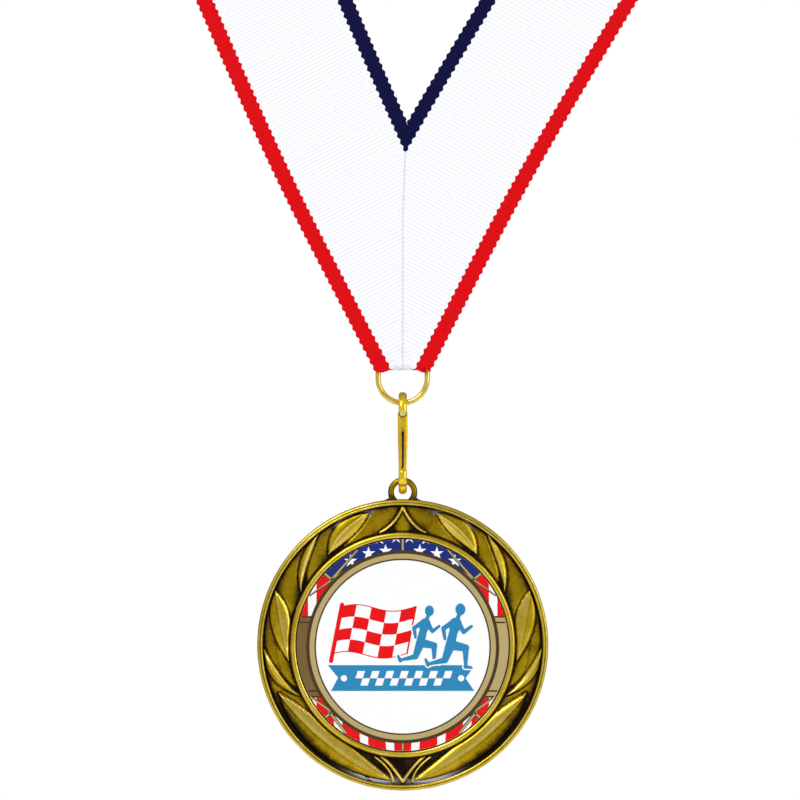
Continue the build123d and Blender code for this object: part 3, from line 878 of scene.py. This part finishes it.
def make_eye():
    """The eye: a flattened ring on a flared foot, sunk a little into the disc's edge."""
    bm = bmesh.new()
    outer, inner, half = 3.53 * MM, 2.1 * MM, 0.98 * MM
    squareness = 0.7
    foot_spread, foot_sink = 0.5, 0.5 * MM
    eye_z = medal_high[2] - outer
    section = bmesh.ops.create_circle(bm, segments=16, radius=1)["verts"]
    for vert in section:
        across = math.copysign(abs(vert.co.x) ** squareness, vert.co.x)
        deep = math.copysign(abs(vert.co.y) ** squareness, vert.co.y)
        vert.co = ((outer + inner) / 2 + across * (outer - inner) / 2, deep * half, 0)
    ring = bm.verts[:] + bm.edges[:]
    bmesh.ops.spin(
        bm, geom=ring, cent=(0, 0, 0), axis=(0, 1, 0), angle=2 * math.pi, steps=96, use_merge=True
    )
    layer = bm.verts.layers.float.new("wear_and_painted_light")
    bm.verts.layers.float.new("lacquer_and_painted_reflection")
    for vert in bm.verts:
        low = min(max(-vert.co.z / outer, 0), 1)
        reach = math.hypot(vert.co.x, vert.co.z)
        outside = min(max((reach - inner) / (outer - inner), 0), 1)
        # lighter on the front face and darker towards the foot
        vert[layer] = (0.19 + 0.34 * max(0.0, -vert.co.y / half) ** 3) * (1 - low) ** 1.5
        vert.co.x *= 1 + foot_spread * outside * float(smooth((low - 0.33) / 0.2))
        vert.co.z -= foot_sink * low * outside
    bmesh.ops.translate(bm, verts=bm.verts, vec=(0, hang_y, eye_z))
    bmesh.ops.recalc_face_normals(bm, faces=bm.faces)
    for face in bm.faces:
        face.smooth = True
    return bm


eye_mesh = bpy.data.meshes.new("eye")
eye_bm = make_eye()
eye_bm.to_mesh(eye_mesh)
eye_bm.free()
casting_bm.from_mesh(eye_mesh)
casting = new_object("medal_relief", casting_bm)


def antique_gold_material():
    material, tree, shader = new_material("antique_gold", (0.7, 0.5, 0.1), 0.35, 1.0)
    place = node(tree, "TexCoord").outputs["Object"]
    # level of the finish: wiping that leaves black in the hollows, mixed with painted light and shade
    wear_and_painted_light = node(tree, "Attribute", attribute_name="wear_and_painted_light")
    mottle = noise(tree, place, 260, 6, roughness=0.65)
    grit = noise(tree, place, 1900, 4)
    uneven = maths(tree, "MULTIPLY_ADD", mottle, 0.55, -0.275)
    fine = maths(tree, "MULTIPLY_ADD", grit, 0.3, -0.15)
    level = maths(tree, "ADD", wear_and_painted_light.outputs["Fac"], uneven)
    level = maths(tree, "ADD", level, fine, clamp=True)
    tone = ramp_colours(
        tree, level, (0.10, (0.014, 0.009, 0.005)), (1.0, (0.86, 0.66, 0.17)),
        (0.32, (0.10, 0.060, 0.006)), (0.54, (0.42, 0.275, 0.004)), (0.78, (0.66, 0.47, 0.03)),
    )
    lacquer_and_painted_reflection = node(tree, "Attribute", attribute_name="lacquer_and_painted_reflection")
    # painted reflection: cool grey patches where the lacquer lies thick and glossy
    painted_reflection_patches = maths(tree, "MULTIPLY", lacquer_and_painted_reflection.outputs["Fac"], maths(tree, "GREATER_THAN", mottle, 0.4))
    painted_reflection_patches = maths(tree, "MULTIPLY", painted_reflection_patches, 0.95, clamp=True)
    colour_with_painted_reflection = blend_colours(tree, painted_reflection_patches, tone, (0.70, 0.70, 0.74))
    tree.links.new(colour_with_painted_reflection, shader.inputs["Base Color"])
    rough = maths(tree, "MULTIPLY_ADD", level, -0.22, 0.5)
    rough = maths(tree, "SUBTRACT", rough, maths(tree, "MULTIPLY", painted_reflection_patches, 0.3))
    tree.links.new(rough, shader.inputs["Roughness"])
    add_bump(tree, shader, grit, 0.25, 0.06 * MM)
    return material


casting.data.materials.append(antique_gold_material())
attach(casting, "medal")
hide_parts("medal_casting")

# ---- Printed insert ----------------------------------------------------------
# A white coated disc, screen printed, lying in the bezel on a film of glue. The print sits a little
# low. Stars and stripes run round the edge, with a plain runners-and-flag picture in the middle.
print_radius = 25.38 * MM
print_drop = 0.4 * MM
ink_thickness = 0.008 * MM
ink_colours = {
    "red": (0.74, 0.001, 0.003),
    "blue": (0.006, 0.022, 0.17),
    "sky": (0.022, 0.22, 0.43),
    "white": (0.86, 0.86, 0.86),
    "tan": (0.44, 0.34, 0.14),
    "umber": (0.060, 0.033, 0.010),
    "brown": (0.165, 0.098, 0.028),
}
ink_names = list(ink_colours)
insert_face_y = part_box("printed_insert")[0][1]


def printed_stock_material(name, colour):
    """Coated metal disc or cured ink: nearly even colour with a faint dot grain, and a soft gloss."""
    material, tree, shader = new_material(name, colour, 0.32)
    place = node(tree, "TexCoord").outputs["Object"]
    dots = node(tree, "TexVoronoi", ("Vector", place), in_Scale=6000.0)
    cloud = noise(tree, place, 350, 2)
    grain = maths(tree, "MULTIPLY", dots.outputs["Distance"], cloud)
    pale = tuple(min(1, c * 1.04 + 0.006) for c in colour)
    deep = tuple(c * 0.93 for c in colour)
    tree.links.new(blend_colours(tree, grain, pale, deep), shader.inputs["Base Color"])
    add_bump(tree, shader, cloud, 0.05, 0.03 * MM)
    shader.inputs["Specular IOR Level"].default_value = 0.12
    return material


finish_node("printed_insert", printed_stock_material("coated_disc", (0.88, 0.88, 0.87)))
finish_node("insert_adhesive", printed_stock_material("glue_film", (0.62, 0.58, 0.46)))

ink_bm = bmesh.new()


def lay_ink(faces, colour, layer):
    """Gives flat faces their ink, raised above the disc by the number of layers under it."""
    for face in faces:
        face.material_index = ink_names.index(colour)
    raised = only(bmesh.types.BMVert, bmesh.ops.extrude_face_region(ink_bm, geom=faces)["geom"])
    bmesh.ops.translate(ink_bm, verts=raised, vec=(0, -ink_thickness * (layer + 1), 0))


def shape(points, colour, layer):
    """One closed outline in print coordinates, millimetres from the middle of the print."""
    verts = [ink_bm.verts.new((x * MM, 0, z * MM)) for x, z in points]
    lay_ink([ink_bm.faces.new(verts)], colour, layer)


def hoop(inner, outer):
    """Adds a thin ring about the middle of the print, and returns its faces."""
    start = [ink_bm.verts.new((r * MM, 0, 0)) for r in (inner, outer)]
    line = start + [ink_bm.edges.new(start)]
    before = set(ink_bm.faces)
    bmesh.ops.spin(
        ink_bm, geom=line, cent=(0, 0, 0), axis=(0, 1, 0), angle=2 * math.pi, steps=240, use_merge=True
    )
    return [f for f in ink_bm.faces if f not in before]


def clock(radius, degrees):
    """A point by its distance from the middle and its angle clockwise from the top."""
    angle = math.radians(degrees)
    return radius * math.sin(angle), radius * math.cos(angle)


def oval(x, z, half_width, half_height, colour, layer):
    points = [clock(1, 12 * step) for step in range(30)]
    shape([(x + half_width * a, z + half_height * b) for a, b in points], colour, layer)


def stroke(start, end, half, colour, layer, tip_half=None):
    """A straight band with round ends, which may narrow or widen towards its tip."""
    tip_half = half if tip_half is None else tip_half
    heading = math.atan2(end[1] - start[1], end[0] - start[0])
    outline = []
    quarter = math.pi / 2
    for (x, z), radius, first in ((end, tip_half, heading - quarter), (start, half, heading + quarter)):
        for step in range(13):
            angle = first + math.pi * step / 12
            outline.append((x + radius * math.cos(angle), z + radius * math.sin(angle)))
    shape(outline, colour, layer)


def bar(start, end, half, colour, layer):
    """A straight band with square ends."""
    (x0, z0), (x1, z1) = start, end
    length = math.hypot(x1 - x0, z1 - z0)
    dx, dz = -(z1 - z0) / length * half, (x1 - x0) / length * half
    shape([(x0 - dx, z0 - dz), (x1 - dx, z1 - dz), (x1 + dx, z1 + dz), (x0 + dx, z0 + dz)], colour, layer)


def outlined_bar(start, end, half, layer):
    bar(start, end, half, "umber", layer)
    bar(start, end, half * 0.5, "tan", layer + 1)


def star(x, z, size, layer):
    corners = [clock(size if step % 2 == 0 else size * 0.382, 36 * step) for step in range(10)]
    shape([(x + dx, z + dz) for dx, dz in corners], "white", layer)


# the decorated edge: a thin ring cut by the stripe lines, each face inked by where it lies
stripe_pitch, stripe_start, stripe_width = 6.2, 2.1, 2.0
panel_top, panel_bottom, blue_reach = 7.1, -12.1, 46.2
edge_inner, edge_outer = 22.9, 26.0
hoop(edge_inner, edge_outer)
cuts = [((0, 0, z * MM), (0, 0, 1)) for z in (panel_top, panel_bottom)]
for side in (-1, 1):
    for index in range(4):
        for offset in (0, stripe_width):
            x = side * (stripe_start + index * stripe_pitch + offset)
            cuts.append(((x * MM, 0, 0), (1, 0, 0)))
    blue_edge = math.radians(blue_reach)
    cuts.append(((0, 0, 0), (math.cos(blue_edge), 0, -side * math.sin(blue_edge))))
for point, normal in cuts:
    geometry = ink_bm.verts[:] + ink_bm.edges[:] + ink_bm.faces[:]
    bmesh.ops.bisect_plane(ink_bm, geom=geometry, dist=1e-8, plane_co=point, plane_no=normal)
edge_faces = {}
for face in ink_bm.faces:
    middle = face.calc_center_median() / MM
    turn = abs(math.degrees(math.atan2(middle.x, middle.z)))
    past_start = abs(middle.x) - stripe_start
    in_stripe = past_start > 0 and past_start % stripe_pitch < stripe_width
    if turn < blue_reach:
        colour = "blue"
    elif panel_bottom < middle.z < panel_top:
        colour = "brown" if middle.x < 0 else "tan"
    else:
        colour = "white" if in_stripe else "red"
    edge_faces.setdefault(colour, []).append(face)
for colour, faces in edge_faces.items():
    lay_ink(faces, colour, 0)

star_places = [(4.1, 23.0), (8.2, 22.4), (1.6, 26.3), (5.6, 26.0), (12.5, 20.6)]
star_size = 1.65
# crossed lines where the stars end and where the lower stripes begin
crossings = [
    ((22.6, 12.4), (14.4, 17.9)), ((17.2, 16.0), (10.9, 23.3)), ((21.9, -12.3), (14.4, -17.4)),
    ((17.7, -15.6), (13.6, -20.7)), ((16.6, -15.2), (18.6, -17.0)), ((18.9, 17.7), (16.4, 15.6)),
]
bar_inner, bar_outer = 22.8, 25.2
for side in (-1, 1):
    for x, z in star_places:
        star(side * x, z, star_size, 1)
    for (x0, z0), (x1, z1) in crossings:
        outlined_bar((side * x0, z0), (side * x1, z1), 0.46, 2)
    # the panels' edge lines stop inside the print's own radius
    for z in (panel_top + 0.1, panel_top - 1.25, panel_bottom + 1.5, panel_bottom + 0.1):
        x0, x1 = math.sqrt(bar_inner**2 - z**2), math.sqrt(bar_outer**2 - (z - 0.4) ** 2)
        bar((side * x0, z), (side * x1, z), 0.2, "umber", 1)
for z in (1, -1):
    outlined_bar((0, 22.5 * z), (0, 26.0 * z), 0.42, 2)
ring_radii = [20.8, 21.15, 22.35, 22.65, 22.9, 23.15]
ring_inks = ["umber", "tan", "umber", "umber", "umber"]
for inner, outer, colour in zip(ring_radii, ring_radii[1:], ring_inks):
    lay_ink(hoop(inner, outer), colour, 5)

# finish flag: a leaning pole and a waving chequered cloth
flag_foot, flag_head = (-17.2, -3.4), (-14.6, 9.8)
flag_columns, flag_rows = 5, 4
cell_width, cell_height = 3.55, 2.75
flag_lean, flag_wave, flag_hang = 2.1, 0.8, 0.6
flag_hem = 0.09


def on_flag(column, row):
    share = row / flag_rows
    x = flag_head[0] - flag_lean * share + column * cell_width
    wave = flag_wave * math.sin(2 * math.pi * column / flag_columns + 0.4)
    return x, flag_head[1] - flag_hang - row * cell_height + wave


for column in range(flag_columns):
    for row in range(flag_rows):
        fine = [column + step / 6 for step in range(7)]
        top = [on_flag(c, row) for c in fine]
        bottom = [on_flag(c, row + 1) for c in reversed(fine)]
        if (column + row) % 2 == 0:
            shape(top + bottom, "red", 0)
fine = [flag_columns * step / 24 for step in range(25)]
for row, width in ((0, -flag_hem), (flag_rows, flag_hem)):
    upper = [on_flag(c, row) for c in fine]
    lower = [on_flag(c, row + width) for c in reversed(fine)]
    shape(upper + lower, "red", 1)
bar(on_flag(flag_columns, -flag_hem), on_flag(flag_columns, flag_rows + flag_hem), 0.2, "red", 1)
stroke(flag_foot, (flag_head[0] + 0.05, flag_head[1] + 0.3), 0.5, "red", 2)

banner_middle = -7.55
banner = [(-18.0, -4.4), (15.6, -4.4), (16.7, -5.3), (15.1, banner_middle)]
banner += [(17.2, -10.6), (-17.2, -10.6), (-15.5, -7.4)]
shape(banner, "sky", 0)
for x in (-14.1, 14.0):
    oval(x, banner_middle, 0.75, 0.75, "white", 1)
dash, dash_lean = 1.75, 0.55
for index in range(13):
    x = -11.9 + index * dash
    z = banner_middle if index % 2 == 0 else banner_middle - dash
    lean = dash_lean if index % 2 == 0 else 0
    corners = [(x + lean, z), (x + dash + lean, z), (x + dash + lean + dash_lean, z + dash)]
    shape(corners + [(x + lean + dash_lean, z + dash)], "white", 1)


def runner(hip_x, hip_z, size, layer):
    """A plain pictogram runner with a white edge, drawn as round-ended strokes from the hip."""

    def at(x, z):
        return hip_x + x * size, hip_z + z * size

    limbs = [
        ((0.0, 0.3), (0.55, 2.6), 0.95, 0.85),
        ((0.55, 2.6), (1.0, 4.25), 0.85, 1.25),
        ((0.75, 4.75), (-1.45, 3.35), 0.6, 0.45),
        ((-1.45, 3.35), (-1.15, 1.25), 0.45, 0.3),
        ((1.5, 4.5), (2.6, 2.6), 0.6, 0.42),
        ((2.6, 2.6), (4.15, 3.75), 0.42, 0.3),
        ((0.25, 0.0), (3.0, -0.55), 1.0, 0.72),
        ((3.0, -0.55), (3.0, -3.9), 0.68, 0.34),
        ((2.95, -4.3), (4.15, -4.5), 0.42, 0.26),
        ((-0.05, 0.0), (-1.15, -3.0), 1.0, 0.66),
        ((-1.15, -3.0), (-4.4, -3.75), 0.62, 0.3),
        ((-4.5, -3.9), (-5.0, -2.9), 0.42, 0.28),
        ((1.35, 5.2), (1.75, 6.3), 0.45, 0.4),
    ]
    halo, lap = 0.32, 0.15
    head = at(1.95, 7.15)
    oval(*head, 1.0 * size + halo, 1.2 * size + halo, "white", layer)
    oval(*head, 1.0 * size, 1.2 * size, "sky", layer + 3)
    for index, (start, end, half, tip_half) in enumerate(limbs, 1):
        step = index * lap
        stroke(at(*start), at(*end), half * size + halo, "white", layer + step, tip_half * size + halo)
        stroke(at(*start), at(*end), half * size, "sky", layer + 3 + step, tip_half * size)


runner(4.3, 0.9, 1.08, 3)
runner(11.5, 0.4, 1.2, 9)

bmesh.ops.recalc_face_normals(ink_bm, faces=ink_bm.faces)
bmesh.ops.translate(ink_bm, verts=ink_bm.verts, vec=(0, 0, -print_drop))
for vert in ink_bm.verts:
    reach = math.hypot(vert.co.x, vert.co.z)
    if reach > print_radius:
        vert.co.x *= print_radius / reach
        vert.co.z *= print_radius / reach
bmesh.ops.translate(ink_bm, verts=ink_bm.verts, vec=(0, insert_face_y, medal_z))
inks = new_object("insert_inks", ink_bm)
for name, colour in ink_colours.items():
    inks.data.materials.append(printed_stock_material("ink_" + name, colour))
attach(inks, "medal")
